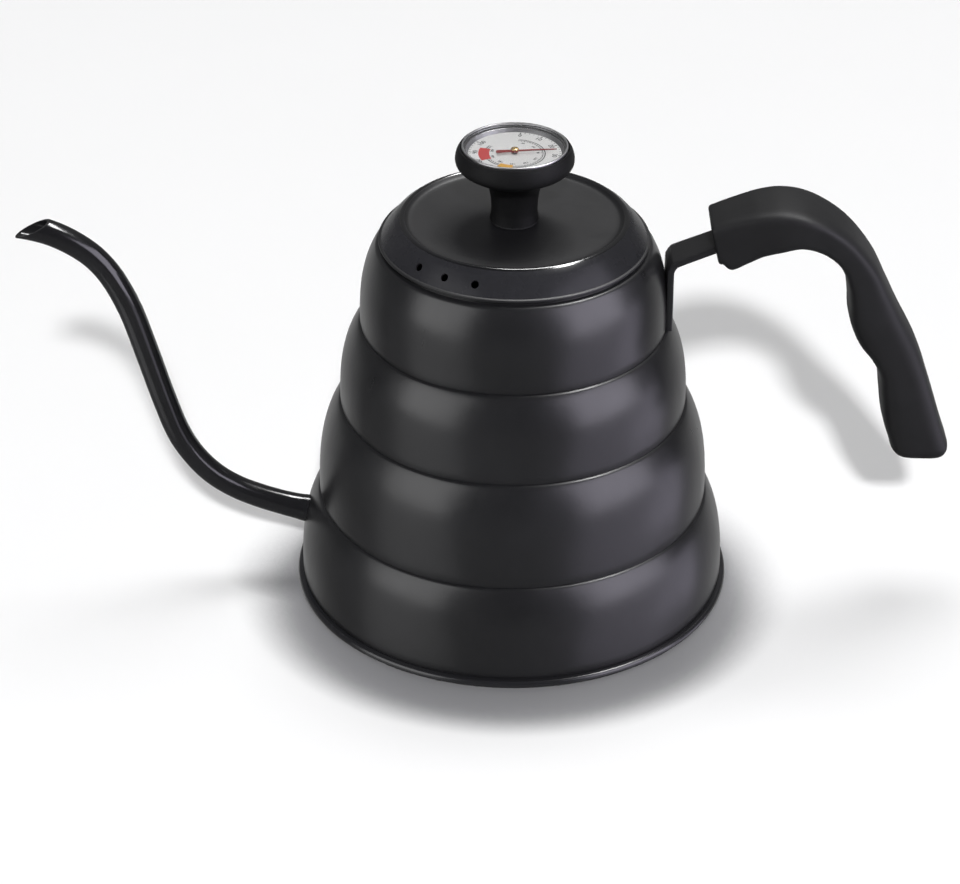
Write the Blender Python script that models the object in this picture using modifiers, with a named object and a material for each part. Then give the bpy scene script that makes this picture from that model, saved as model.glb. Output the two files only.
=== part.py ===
"""Gooseneck kettle with a dial thermometer in its lid knob.

Modelled in millimetres and scaled to metres by MM.  +Z is up, the spout points
to -X and the handle to +X.  The origin is the centre of the flat underside.
"""

import math

import bmesh
import bpy

MM = 0.001
GAP = 0.3
ROUND = 40
KNOB_ROUND = 32
SMALL_ROUND = 16

# Body: four stacked tiers, each a shoulder that falls to a vertical edge.
TIER_Z = (127.6, 98.1, 68.8, 34.1, 3.0)
TIER_R = (44.1, 50.9, 58.0, 65.7, 72.2)
TIER_STEPS = (0.12, 0.3, 0.58, 1.0)
WALL = 0.8
MOUTH_R = 41.0
NECK_BOTTOM_Z = 121.5

# Base plate with its hemmed rim.
RIM_R = 74.0
RIM_TOP_Z = 2.7
BASE_FLANGE_Z = 7.0

# Spout: its centre line runs in the plane y = 0, as (x, z, radius) points.
SPOUT_ROUTE = (
    (-64.0, 22.3, 4.9),
    (-70.5, 23.6, 4.7),
    (-73.6, 24.4, 4.4),
    (-78.5, 25.8, 4.2),
    (-86.5, 28.6, 4.1),
    (-94.5, 32.3, 4.0),
    (-101.9, 37.6, 4.0),
    (-108.2, 45.0, 4.0),
    (-113.3, 54.5, 4.1),
    (-117.6, 68.2, 4.1),
    (-122.2, 85.3, 4.1),
    (-126.7, 101.0, 4.1),
    (-131.7, 112.6, 4.1),
    (-136.9, 120.1, 4.1),
    (-142.8, 125.2, 4.15),
    (-149.5, 129.1, 4.2),
    (-156.0, 131.4, 4.2),
    (-164.0, 133.1, 4.2),
)
SPOUT_BORE_R = 3.3
SPOUT_HOLE_R = 3.2
LIP_TOP = (-151.0, 134.2)
LIP_TIP = (-162.6, 128.7)

# Handle: a bent strap as (x, z, width), and the grip that it carries on its tang.
STRAP_THICKNESS = 2.4
STRAP_ROUTE = (
    (51.1, 98.2, 17.0),
    (51.1, 108.0, 17.0),
    (51.1, 117.8, 15.2),
    (51.4, 119.5, 14.6),
    (52.2, 120.9, 14.2),
    (53.7, 121.9, 13.8),
    (64.8, 126.5, 13.4),
    (80.0, 132.8, 13.4),
    (95.0, 136.2, 13.4),
)
GRIP_WIDTH = 24.0
GRIP_EDGE = 3.0
GRIP_OUTER = (
    (64.6, 136.6),
    (74.0, 140.0),
    (80.0, 141.6),
    (87.0, 142.4),
    (95.0, 141.0),
    (103.4, 136.9),
    (111.0, 130.8),
    (118.2, 121.6),
    (122.9, 112.3),
    (132.8, 93.0),
    (138.9, 78.0),
    (144.0, 61.6),
    (147.4, 51.6),
    (146.2, 48.3),
    (136.6, 48.2),
    (130.0, 49.8),
)
GRIP_INNER = (
    (127.0, 54.4),
    (124.6, 61.6),
    (122.7, 73.0),
    (121.6, 80.0),
    (118.9, 86.0),
    (114.2, 92.4),
    (111.4, 99.8),
    (110.4, 107.5),
    (109.6, 115.0),
    (106.2, 121.2),
    (100.0, 126.8),
    (93.4, 129.0),
    (86.6, 127.6),
    (81.0, 125.9),
    (76.3, 123.4),
    (71.4, 120.9),
    (68.2, 122.6),
)
TANG_SLOT_START = (58.0, 123.7, 13.4)
SCREW_PLACES = ((76.0, 124.0, 135.2), (88.0, 128.7, 138.2))
SCREW_SHANK_R = 1.7
SCREW_HEAD_R = 3.4
SCREW_HEAD_HEIGHT = 1.8

# Lid: a domed cover with a raised ring, and a skirt that drops into the mouth.
LID_RIM = (44.3, 127.9)
LID_RING = (37.0, 136.3)
LID_TOP_Z = 134.5
LID_BULGE = 1.0
LID_HOLE_R = 4.4
SKIRT_R = 40.3
SKIRT_BOTTOM_Z = 115.8
VENT_R = 1.25
VENT_ANGLES = (222.0, 236.9, 251.8)

# Knob, its hollow bolt, and the dial thermometer in it.
KNOB_BOTTOM_Z = 135.8
KNOB_RIM = (19.3, 157.0)
RECESS_R = 17.5
BOLT_R = 4.0
BOLT_HEAD_R = 6.4
BOLT_HEAD_Z = (149.3, 152.3)
BOLT_BOTTOM_Z = 127.2
LENS_TOP_Z = 161.1
DIAL_Z = 158.2
POINTER_Z = 159.05
POINTER_REST = 6.0
POINTER_TIP = 13.5
POINTER_TAIL = 6.1
STEM_R = 2.0
STEM_WALL = 0.35
STEM_BOTTOM_Z = 30.0
SPINDLE_R = 0.4

# Colour, roughness and metallic value of each finish.
FINISHES = {
    "black_lacquer": ((0.028, 0.029, 0.033), 0.28, 0.55),
    "black_bakelite": ((0.022, 0.022, 0.024), 0.5, 0.0),
    "stainless_steel": ((0.62, 0.62, 0.63), 0.28, 1.0),
    "zinc_steel": ((0.5, 0.5, 0.52), 0.35, 1.0),
    "silicone": ((0.05, 0.05, 0.052), 0.7, 0.0),
    "clear_glass": ((0.9, 0.95, 0.95), 0.03, 0.0),
    "dial_white": ((0.86, 0.86, 0.85), 0.5, 0.0),
    "pointer_red": ((0.4, 0.03, 0.03), 0.4, 0.0),
    "brass": ((0.7, 0.5, 0.22), 0.3, 1.0),
    "bimetal": ((0.45, 0.42, 0.4), 0.4, 1.0),
}


def clear_scene():
    for obj in list(bpy.data.objects):
        bpy.data.objects.remove(obj, do_unlink=True)


def new_collection(name):
    collection = bpy.data.collections.new(name)
    bpy.context.scene.collection.children.link(collection)
    return collection


def make_material(name):
    colour, roughness, metallic = FINISHES[name]
    material = bpy.data.materials.new(name)
    material.use_nodes = True
    shader = material.node_tree.nodes["Principled BSDF"]
    shader.inputs["Base Color"].default_value = (*colour, 1.0)
    shader.inputs["Roughness"].default_value = roughness
    shader.inputs["Metallic"].default_value = metallic
    return material


clear_scene()
PARTS = new_collection("gooseneck_kettle")
CUTTERS = new_collection("cutters")
MATERIALS = {name: make_material(name) for name in FINISHES}


def place(name, data, finish, parent=None):
    """Links a sub-part to the kettle, under the empty that moves it."""
    obj = bpy.data.objects.new(name, data)
    obj.data.materials.append(MATERIALS[finish])
    obj.parent = parent
    PARTS.objects.link(obj)
    return obj


def as_cutter(obj):
    """Turns an object into a helper that only cuts."""
    for collection in list(obj.users_collection):
        collection.objects.unlink(obj)
    CUTTERS.objects.link(obj)
    obj.hide_render = True
    obj.display_type = "WIRE"
    return obj


def pivot(name, height, parent=None):
    """An empty on the kettle's axis, where a moving body has its joint."""
    empty = bpy.data.objects.new(name, None)
    empty.location = (0.0, 0.0, height * MM)
    empty.parent = parent
    PARTS.objects.link(empty)
    return empty


def turned(name, profile, finish, parent=None, closed=False, segments=ROUND, wall=None):
    """A turned piece: the profile of (radius, height) points spun about the axis."""
    mesh = bpy.data.meshes.new(name)
    count = len(profile)
    edges = [(i, (i + 1) % count) for i in range(count if closed else count - 1)]
    mesh.from_pydata([(r * MM, 0.0, z * MM) for r, z in profile], edges, [])
    obj = place(name, mesh, finish, parent)
    screw = obj.modifiers.new("Turn", "SCREW")
    screw.axis = "Z"
    screw.steps = segments
    screw.render_steps = segments
    screw.use_merge_vertices = True
    screw.merge_threshold = 1e-5
    screw.use_smooth_shade = True
    if wall:
        solidify = obj.modifiers.new("Wall", "SOLIDIFY")
        solidify.thickness = wall * MM
        solidify.offset = -1.0
        solidify.use_even_offset = True
        solidify.use_rim = True
    return obj


def ring(name, r_in, r_out, z_low, z_high, finish, parent=None, segments=SMALL_ROUND):
    profile = ((r_in, z_high), (r_out, z_high), (r_out, z_low), (r_in, z_low))
    return turned(name, profile, finish, parent, closed=True, segments=segments)


def disc(name, radius, z_low, z_high, finish, parent=None, segments=SMALL_ROUND):
    profile = ((0.0, z_high), (radius, z_high), (radius, z_low), (0.0, z_low))
    return turned(name, profile, finish, parent, segments=segments)


def cut(obj, cutter):
    boolean = obj.modifiers.new(cutter.name, "BOOLEAN")
    boolean.operation = "DIFFERENCE"
    boolean.solver = "EXACT"
    boolean.object = cutter


def drill(obj, name, radius, depth, centre, rotation, segments=SMALL_ROUND):
    """Cuts a round hole of the given radius, depth, centre (x, y, z) and rotation."""
    work = bmesh.new()
    bmesh.ops.create_cone(
        work,
        cap_ends=True,
        segments=segments,
        radius1=radius * MM,
        radius2=radius * MM,
        depth=depth * MM,
    )
    mesh = bpy.data.meshes.new(name)
    work.to_mesh(mesh)
    work.free()
    drill_bit = place(name, mesh, "zinc_steel")
    drill_bit.location = [value * MM for value in centre]
    drill_bit.rotation_euler = rotation
    cut(obj, as_cutter(drill_bit))


def shade(mesh):
    mesh.shade_smooth()
    mesh.set_sharp_from_angle(angle=math.radians(40))


def to_mesh(obj):
    """Replaces a curve object by the mesh that it draws, with its caps welded."""
    graph = bpy.context.evaluated_depsgraph_get()
    mesh = bpy.data.meshes.new_from_object(obj.evaluated_get(graph))
    work = bmesh.new()
    work.from_mesh(mesh)
    bmesh.ops.remove_doubles(work, verts=work.verts, dist=1e-6)
    bmesh.ops.recalc_face_normals(work, faces=work.faces)
    work.to_mesh(mesh)
    work.free()
    name = obj.name
    matrix = obj.matrix_world.copy()
    bpy.data.objects.remove(obj, do_unlink=True)
    made = bpy.data.objects.new(name, mesh)
    made.matrix_world = matrix
    PARTS.objects.link(made)
    shade(mesh)
    return made


def smooth_through(points, steps):
    """Points of the Catmull-Rom curve through the given points."""
    ends = [tuple(2 * a - b for a, b in zip(points[0], points[1]))]
    ends.append(tuple(2 * a - b for a, b in zip(points[-1], points[-2])))
    known = [ends[0], *points, ends[1]]
    curve = []
    for before, start, end, after in zip(known, known[1:], known[2:], known[3:]):
        for step in range(steps):
            t = step / steps
            curve.append(
                tuple(
                    0.5 * (2 * p1 + (p2 - p0) * t + (2 * p0 - 5 * p1 + 4 * p2 - p3) * t**2
                           + (3 * p1 - p0 - 3 * p2 + p3) * t**3)
                    for p0, p1, p2, p3 in zip(before, start, end, after)
                )
            )
    curve.append(tuple(points[-1]))
    return curve


def tube(name, route, finish, depth, bevel_resolution=3):
    """A round bar along (x, y, z, factor) points, whose radius is depth times factor."""
    curve = bpy.data.curves.new(name, "CURVE")
    curve.dimensions = "3D"
    curve.bevel_depth = depth * MM
    curve.bevel_resolution = bevel_resolution
    curve.use_fill_caps = True
    spline = curve.splines.new("POLY")
    spline.points.add(len(route) - 1)
    for point, (x, y, z, factor) in zip(spline.points, route):
        point.co = (x * MM, y * MM, z * MM, 1.0)
        point.radius = factor
    return place(name, curve, finish)


def strap(name, route, finish, spare=0.0, edge=0.0):
    """A bent flat bar: its (x, z, width) line spread along Y and thickened, grown by spare."""
    mesh = bpy.data.meshes.new(name)
    work = bmesh.new()
    near = [work.verts.new((x * MM, -(width + spare) / 2 * MM, z * MM)) for x, z, width in route]
    far = [work.verts.new((x * MM, (width + spare) / 2 * MM, z * MM)) for x, z, width in route]
    for corners in zip(near, near[1:], far[1:], far):
        work.faces.new(corners)
    bmesh.ops.recalc_face_normals(work, faces=work.faces)
    work.to_mesh(mesh)
    work.free()
    obj = place(name, mesh, finish)
    solidify = obj.modifiers.new("Thickness", "SOLIDIFY")
    solidify.thickness = (STRAP_THICKNESS + spare) * MM
    solidify.offset = 0.0
    solidify.use_even_offset = True
    if edge:
        bevel = obj.modifiers.new("Edge", "BEVEL")
        bevel.width = edge * MM
        bevel.segments = 2
        bevel.limit_method = "ANGLE"
        bevel.angle_limit = math.radians(60)
    return obj


def tier_profile(offset=0.0, steps=TIER_STEPS):
    """The body's outer wall from the mouth down, moved outwards by offset."""
    profile = [(TIER_R[0] + offset, TIER_Z[0] - 0.9)]
    for z_top, z_low, r_top, r_low in zip(TIER_Z, TIER_Z[1:], TIER_R, TIER_R[1:]):
        for s in steps:
            reach = (1 - (1 - s) ** 2.91) ** (1 / 1.21)
            z = z_top - s * (z_top - z_low)
            if z < profile[-1][1]:
                profile.append((r_top + (r_low - r_top) * reach + offset, z))
    return profile


def body_solid(offset):
    """A solid of the body's outside, for cutting what is fixed to it."""
    wall = tier_profile(offset)
    profile = [(0.0, wall[0][1]), *wall, (0.0, wall[-1][1])]
    return as_cutter(turned("body_outside", profile, "black_lacquer"))


def make_body_shell():
    seat = [(MOUTH_R, NECK_BOTTOM_Z), (MOUTH_R, 126.4), (41.7, 127.3), (43.3, 127.4)]
    shell = turned("body_shell", [*seat, *tier_profile()], "black_lacquer", wall=WALL)
    x, z, _ = SPOUT_ROUTE[1]
    tilt = (0.0, math.radians(-75), 0.0)
    drill(shell, "spout_hole", SPOUT_HOLE_R, 12.0, (x, 0.0, z), tilt)


def make_base_plate():
    flange_r = TIER_R[-1] - WALL - GAP
    profile = (
        (0.0, WALL),
        (69.0, WALL),
        (flange_r - WALL, 1.8),
        (flange_r - WALL, BASE_FLANGE_Z),
        (flange_r, BASE_FLANGE_Z),
        (flange_r, RIM_TOP_Z),
        (73.3, RIM_TOP_Z),
        (RIM_R, 1.8),
        (RIM_R, 0.8),
        (73.2, 0.0),
        (0.0, 0.0),
    )
    turned("base_plate", profile, "black_lacquer")


def make_spout(outside):
    line = smooth_through(SPOUT_ROUTE, 2)
    wall = tube("spout_tube", [(x, 0, z, r) for x, z, r in line], "black_lacquer", 1.0)
    spout = to_mesh(wall)
    (x_before, z_before, _), (x_end, z_end, _) = line[-2:]
    line.append((2 * x_end - x_before, 2 * z_end - z_before, 0.0))
    route = [(x, 0, z, SPOUT_BORE_R) for x, z, _ in line]
    bore = to_mesh(tube("spout_bore", route, "black_lacquer", 1.0))
    cut(spout, outside)
    cut(spout, as_cutter(bore))
    cut(spout, lip_cutter())


def lip_cutter():
    """A box whose lower face is the plane of the oblique pouring lip."""
    size = 60.0
    work = bmesh.new()
    bmesh.ops.create_cube(work, size=size * MM)
    mesh = bpy.data.meshes.new("lip_plane")
    work.to_mesh(mesh)
    work.free()
    box = place("lip_plane", mesh, "black_lacquer")
    slope = math.atan2(LIP_TOP[1] - LIP_TIP[1], LIP_TOP[0] - LIP_TIP[0])
    x = LIP_TIP[0] - size / 2 * math.sin(slope)
    z = LIP_TIP[1] + size / 2 * math.cos(slope)
    box.rotation_euler = (0.0, -slope, 0.0)
    box.location = (x * MM, 0.0, z * MM)
    return as_cutter(box)


def make_bracket(outside):
    bracket = strap("handle_bracket", STRAP_ROUTE, "black_lacquer", edge=0.5)
    cut(bracket, outside)
    for index, (x, low, high) in enumerate(SCREW_PLACES, 1):
        cut(bracket, shank_cutter(f"bracket_hole_{index}", x, low, high + GAP))


def shank_cutter(name, x, low, high, radius=SCREW_SHANK_R + GAP):
    hole = disc(name, radius, low, high, "black_lacquer", segments=SMALL_ROUND)
    hole.location = (x * MM, 0.0, 0.0)
    return as_cutter(hole)


def grip_outline():
    outer = smooth_through(GRIP_OUTER, 2)
    inner = smooth_through(GRIP_INNER, 2)
    return [*outer, *inner]


def make_grip():
    mesh = bpy.data.meshes.new("handle_grip")
    work = bmesh.new()
    half = GRIP_WIDTH / 2 * MM
    side = work.faces.new([work.verts.new((x * MM, -half, z * MM)) for x, z in grip_outline()])
    made = bmesh.ops.extrude_face_region(work, geom=[side])
    moved = [item for item in made["geom"] if isinstance(item, bmesh.types.BMVert)]
    bmesh.ops.translate(work, verts=moved, vec=(0.0, 2 * half, 0.0))
    bmesh.ops.recalc_face_normals(work, faces=work.faces)
    work.to_mesh(mesh)
    work.free()
    shade(mesh)
    grip = place("handle_grip", mesh, "black_bakelite")
    bevel = grip.modifiers.new("Round", "BEVEL")
    bevel.width = GRIP_EDGE * MM
    bevel.segments = 2
    bevel.limit_method = "ANGLE"
    bevel.angle_limit = math.radians(60)
    tang = [TANG_SLOT_START, *STRAP_ROUTE[6:-1]]
    x_end, z_end, width = STRAP_ROUTE[-1]
    tang.append((x_end + GAP, z_end + 0.07, width))
    slot = strap("tang_slot", tang, "black_bakelite", spare=2 * GAP)
    cut(grip, as_cutter(slot))
    for index, (x, low, high) in enumerate(SCREW_PLACES, 1):
        head_top = low + SCREW_HEAD_HEIGHT + GAP
        cut(grip, shank_cutter(f"screw_hole_{index}", x, low - 4, high + GAP))
        cut(grip, shank_cutter(f"screw_seat_{index}", x, low - 9, head_top, SCREW_HEAD_R + GAP))


def make_screws():
    for index, (x, low, high) in enumerate(SCREW_PLACES, 1):
        head_top = low + SCREW_HEAD_HEIGHT
        profile = (
            (0.0, high),
            (SCREW_SHANK_R - 0.3, high),
            (SCREW_SHANK_R, high - 0.4),
            (SCREW_SHANK_R, head_top),
            (SCREW_HEAD_R, head_top),
            (SCREW_HEAD_R, low + 0.7),
            (SCREW_HEAD_R - 1.0, low),
            (1.2, low),
            (0.0, low + 1.0),
        )
        screw = turned(f"grip_screw_{index}", profile, "zinc_steel", segments=SMALL_ROUND)
        screw.location = (x * MM, 0.0, 0.0)


def lid_band_point(s):
    """A point on the lid's bulging side band, from the ring (0) to the rim (1)."""
    (r0, z0), (r1, z1) = (LID_RING[0] + 0.9, LID_RING[1] - 0.6), LID_RIM
    length = math.hypot(r1 - r0, z1 - z0)
    bulge = 4 * LID_BULGE * s * (1 - s)
    r = r0 + (r1 - r0) * s + bulge * (z0 - z1) / length
    return (r, z0 + (z1 - z0) * s + bulge * (r1 - r0) / length)


def make_lid_cover(lid):
    ring_r, ring_z = LID_RING
    profile = [(LID_HOLE_R, LID_TOP_Z), (ring_r - 2.2, LID_TOP_Z + 0.3), (ring_r - 0.7, ring_z)]
    profile.append((ring_r, ring_z))
    profile += [lid_band_point(s) for s in (0.0, 0.3, 0.6, 0.85, 1.0)]
    cover = turned("lid_cover", profile, "black_lacquer", lid, wall=WALL)
    r, z = lid_band_point(0.5)
    for index, angle in enumerate(VENT_ANGLES, 1):
        turn = math.radians(angle)
        centre = (r * math.cos(turn), r * math.sin(turn), z)
        tilt = (0.0, math.radians(46), turn)
        drill(cover, f"vent_{index}", VENT_R, 6.0, centre, tilt, segments=12)


def make_lid_skirt(lid):
    profile = (
        (42.9, 127.9),
        (41.0, 127.9),
        (SKIRT_R, 127.2),
        (SKIRT_R, SKIRT_BOTTOM_Z + 1.0),
        (SKIRT_R - 0.6, SKIRT_BOTTOM_Z),
    )
    turned("lid_skirt", profile, "stainless_steel", lid, wall=0.6)


def make_knob(lid):
    rim_r, rim_z = KNOB_RIM
    bore_r = BOLT_R + GAP
    profile = (
        (RECESS_R, 161.0),
        (RECESS_R + 0.5, 161.0),
        (rim_r - 0.5, 159.4),
        (rim_r, rim_z),
        (rim_r - 0.4, 155.3),
        (rim_r - 2.1, 153.8),
        (13.0, 151.6),
        (10.2, 149.9),
        (8.7, 147.6),
        (7.8, 143.5),
        (7.5, 139.5),
        (8.0, KNOB_BOTTOM_Z),
        (bore_r, KNOB_BOTTOM_Z),
        (bore_r, BOLT_HEAD_Z[0] - GAP),
        (BOLT_HEAD_R + GAP, BOLT_HEAD_Z[0] - GAP),
        (BOLT_HEAD_R + GAP, 154.4),
        (11.4, 154.4),
        (11.4, 156.8),
        (RECESS_R, 156.8),
    )
    turned("lid_knob", profile, "black_bakelite", lid, closed=True, segments=KNOB_ROUND)


def make_knob_fastening(lid):
    head_low, head_high = BOLT_HEAD_Z
    bore = STEM_R + 0.4
    bolt = (
        (bore, head_high),
        (BOLT_HEAD_R, head_high),
        (BOLT_HEAD_R, head_low),
        (BOLT_R, head_low),
        (BOLT_R, BOLT_BOTTOM_Z + 0.5),
        (BOLT_R - 0.5, BOLT_BOTTOM_Z),
        (bore, BOLT_BOTTOM_Z),
    )
    turned("knob_bolt", bolt, "zinc_steel", lid, closed=True, segments=SMALL_ROUND)
    inner = BOLT_R + GAP
    ring("knob_seal", inner, 7.6, LID_TOP_Z + GAP, KNOB_BOTTOM_Z - GAP, "silicone", lid)
    ring("knob_washer", inner, 8.5, 132.3, 133.3, "stainless_steel", lid)
    nut = disc("knob_nut", 7.4, 128.2, 132.0, "zinc_steel", lid, segments=6)
    cut(nut, as_cutter(disc("nut_bore", inner, 127.0, 133.0, "zinc_steel")))


def make_thermometer(lid):
    case = (
        (16.35, 159.4),
        (16.35, 157.1),
        (11.0, 157.1),
        (11.0, 154.9),
        (STEM_R + GAP, 154.9),
        (STEM_R + GAP, 155.3),
        (10.6, 155.3),
        (10.6, 157.5),
        (15.95, 157.5),
        (15.95, 159.4),
    )
    turned("thermometer_case", case, "stainless_steel", lid, closed=True, segments=KNOB_ROUND)
    ring("dial_plate", 0.8, 15.6, DIAL_Z - 0.4, DIAL_Z, "dial_white", lid, KNOB_ROUND)
    ring("lens_gasket", 15.95, 16.5, 159.7, 160.05, "silicone", lid, KNOB_ROUND)
    disc("dial_lens", 16.6, 160.35, LENS_TOP_Z, "clear_glass", lid, KNOB_ROUND)
    bezel = ((16.5, 161.7), (17.2, 161.7), (17.2, 158.2), (16.9, 158.2), (16.9, 161.4), (16.5, 161.4))
    turned("dial_bezel", bezel, "stainless_steel", lid, closed=True, segments=KNOB_ROUND)


def make_stem(lid):
    inner = STEM_R - STEM_WALL
    ring("stem_tube", inner, STEM_R, STEM_BOTTOM_Z + 0.4, 155.8, "stainless_steel", lid)
    plug = (
        (0.0, STEM_BOTTOM_Z + 3.0),
        (inner - GAP, STEM_BOTTOM_Z + 3.0),
        (inner - GAP, STEM_BOTTOM_Z + 0.1),
        (STEM_R, STEM_BOTTOM_Z + 0.1),
        (STEM_R - 0.8, STEM_BOTTOM_Z - 0.7),
        (0.0, STEM_BOTTOM_Z - 1.0),
    )
    turned("stem_plug", plug, "stainless_steel", lid, segments=SMALL_ROUND)
    for name, low in (("spindle_bush_upper", 150.0), ("spindle_bush_lower", 66.0)):
        ring(name, SPINDLE_R + 0.08, inner - GAP, low, low + 3.0, "brass", lid)
    turns, per_turn, low, height = 8, 8, 38.0, 22.0
    count = turns * per_turn
    route = []
    for step in range(count + 1):
        angle = 2 * math.pi * step / per_turn
        z = low + height * step / count
        route.append((1.1 * math.cos(angle), 1.1 * math.sin(angle), z, 1.0))
    coil = tube("bimetal_coil", route, "bimetal", 0.22, bevel_resolution=0)
    coil.parent = lid


def make_pointer(needle):
    """The turning pointer, its hub and its spindle, at heights above POINTER_Z."""
    outline = (
        (POINTER_TIP, 0.12),
        (1.3, 0.35),
        (0.6, 1.15),
        (-0.6, 1.15),
        (-1.3, 0.5),
        (-POINTER_TAIL, 0.75),
    )
    sides = [*outline, *((x, -y) for x, y in reversed(outline))]
    curve = bpy.data.curves.new("pointer", "CURVE")
    curve.dimensions = "2D"
    curve.fill_mode = "BOTH"
    curve.extrude = 0.12 * MM
    spline = curve.splines.new("POLY")
    spline.points.add(len(sides) - 1)
    for point, (x, y) in zip(spline.points, sides):
        point.co = (x * MM, y * MM, 0.0, 1.0)
    spline.use_cyclic_u = True
    blade = to_mesh(place("pointer", curve, "pointer_red"))
    blade.parent = needle
    blade.rotation_euler = (0.0, 0.0, math.radians(POINTER_REST))
    drill(blade, "pointer_eye", 0.7, 2.0, (0.0, 0.0, POINTER_Z), (0.0, 0.0, 0.0), segments=12)
    hub = (
        (0.0, 0.95),
        (1.0, 0.95),
        (1.3, 0.7),
        (1.3, 0.42),
        (0.0, 0.42),
    )
    turned("pointer_hub", hub, "brass", needle, segments=SMALL_ROUND)
    top = 0.12
    bottom = 36.0 - POINTER_Z
    disc("spindle", SPINDLE_R, bottom, top, "stainless_steel", needle, segments=12)


def main():
    lid = pivot("lid_lift", 0.0)
    needle = pivot("pointer_turn", POINTER_Z, lid)
    outside = body_solid(GAP)
    make_body_shell()
    make_base_plate()
    make_spout(outside)
    make_bracket(outside)
    make_grip()
    make_screws()
    make_lid_cover(lid)
    make_lid_skirt(lid)
    make_knob(lid)
    make_knob_fastening(lid)
    make_thermometer(lid)
    make_stem(lid)
    make_pointer(needle)
    bpy.context.view_layer.update()


main()
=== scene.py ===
import math

import bmesh
import bpy
from mathutils import Matrix, Vector


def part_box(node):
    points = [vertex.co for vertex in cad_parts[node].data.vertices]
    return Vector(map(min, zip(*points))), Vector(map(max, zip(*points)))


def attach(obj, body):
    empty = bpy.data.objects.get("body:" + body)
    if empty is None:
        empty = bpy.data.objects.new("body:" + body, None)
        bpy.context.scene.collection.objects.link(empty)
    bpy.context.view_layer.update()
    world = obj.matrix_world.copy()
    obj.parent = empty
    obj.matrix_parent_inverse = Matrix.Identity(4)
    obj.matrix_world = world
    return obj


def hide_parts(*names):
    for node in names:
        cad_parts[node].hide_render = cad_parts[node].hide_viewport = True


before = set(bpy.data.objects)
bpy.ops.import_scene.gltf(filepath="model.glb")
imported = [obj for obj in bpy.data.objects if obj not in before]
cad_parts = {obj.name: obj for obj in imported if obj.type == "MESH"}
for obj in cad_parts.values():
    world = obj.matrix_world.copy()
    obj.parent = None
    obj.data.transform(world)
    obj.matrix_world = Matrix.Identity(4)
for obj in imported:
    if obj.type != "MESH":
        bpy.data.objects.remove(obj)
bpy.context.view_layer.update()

MM = 0.001

# The camera stands where the reference view was taken from.
CAMERA_PLACE = (-0.01437, -0.88871, 0.59022)
CAMERA_PITCH = 0.54611
CAMERA_YAW = 0.00377
CAMERA_ROLL = 0.00209
CAMERA_LENS = 114.76

# What the room shines back, where white paper in full light is 1.
STAGE_MIDDLE = (0.0, 0.0, 0.07)
ABOVE_FRONT = 0.02
ABOVE_BACK = 0.16
BELOW_FRONT = 0.17
BELOW_BACK = 0.6

# Colours of the lights.
WHITE = (1.0, 1.0, 1.0)
VIOLET = (0.86, 0.81, 1.0)

# Body: four stacked tiers, in millimetres like everything below.
TIER_Z = (127.6, 98.1, 68.8, 34.1, 3.0)
TIER_R = (44.1, 50.9, 58.0, 65.7, 72.2)
SHOULDER_POWER = 2.91
SHOULDER_ROUND = 1.21
WALL = 0.8
MOUTH_R = 41.0
NECK_BOTTOM_Z = 121.5
SEAT_Z = 127.4
GROOVE_R = 43.2
GROOVE_Z = 126.75

# Spout centre line as (x, z, radius), and its oblique lip.
SPOUT_ROUTE = (
    (-64.0, 22.3, 4.9),
    (-70.5, 23.6, 4.7),
    (-73.6, 24.4, 4.4),
    (-78.5, 25.8, 4.2),
    (-86.5, 28.6, 4.1),
    (-94.5, 32.3, 4.0),
    (-101.9, 37.6, 4.0),
    (-108.2, 45.0, 4.0),
    (-113.3, 54.5, 4.1),
    (-117.6, 68.2, 4.1),
    (-122.2, 85.3, 4.1),
    (-126.7, 101.0, 4.1),
    (-131.7, 112.6, 4.1),
    (-136.9, 120.1, 4.1),
    (-142.8, 125.2, 4.15),
    (-149.5, 129.1, 4.2),
    (-156.0, 131.4, 4.2),
    (-164.0, 133.1, 4.2),
)
SPOUT_WALL = 0.8
SPOUT_BORE_R = 3.3
SPOUT_HOLE_R = 3.2
LIP_TOP = (-151.0, 134.2)
LIP_TIP = (-162.6, 128.7)

# Handle strap as (x, z, width), then the grip's sections as
# (outer x, outer z, inner x, inner z, width, corner sharpness).
STRAP_THICKNESS = 2.4
STRAP_ROUTE = (
    (51.1, 98.2, 17.0),
    (51.1, 108.0, 17.0),
    (51.1, 117.8, 15.2),
    (51.4, 119.5, 14.6),
    (52.2, 120.9, 14.2),
    (53.7, 121.9, 13.8),
    (64.8, 126.5, 13.4),
    (80.0, 132.8, 13.4),
    (95.0, 136.2, 13.4),
)
GRIP_SECTIONS = (
    (64.6, 136.6, 67.9, 122.4, 20.0, 6.5),
    (68.5, 138.2, 71.0, 120.4, 20.8, 6.5),
    (74.0, 140.0, 76.3, 123.2, 22.2, 6.3),
    (80.0, 141.6, 81.0, 125.9, 24.0, 6.0),
    (87.0, 142.4, 87.0, 127.6, 25.2, 5.6),
    (95.0, 141.0, 93.4, 129.0, 25.8, 5.2),
    (103.4, 136.9, 100.4, 126.8, 25.4, 4.8),
    (111.0, 130.8, 106.3, 121.5, 24.8, 4.4),
    (118.2, 121.6, 109.2, 113.9, 24.2, 4.2),
    (122.9, 112.3, 110.4, 106.9, 23.6, 4.0),
    (127.5, 102.9, 111.1, 99.8, 23.0, 3.8),
    (132.8, 93.0, 114.2, 92.0, 22.6, 3.6),
    (136.2, 85.0, 118.8, 85.8, 22.2, 3.6),
    (138.6, 78.0, 121.8, 79.8, 22.0, 3.6),
    (141.3, 70.0, 123.1, 71.4, 22.0, 3.6),
    (144.0, 61.6, 124.6, 61.8, 22.0, 3.8),
    (147.0, 53.0, 127.3, 53.4, 22.0, 4.0),
)
GRIP_END_Z = 48.0
SCREW_SEAT_R = 3.7
SCREW_SHANK_R = 2.0


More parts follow.
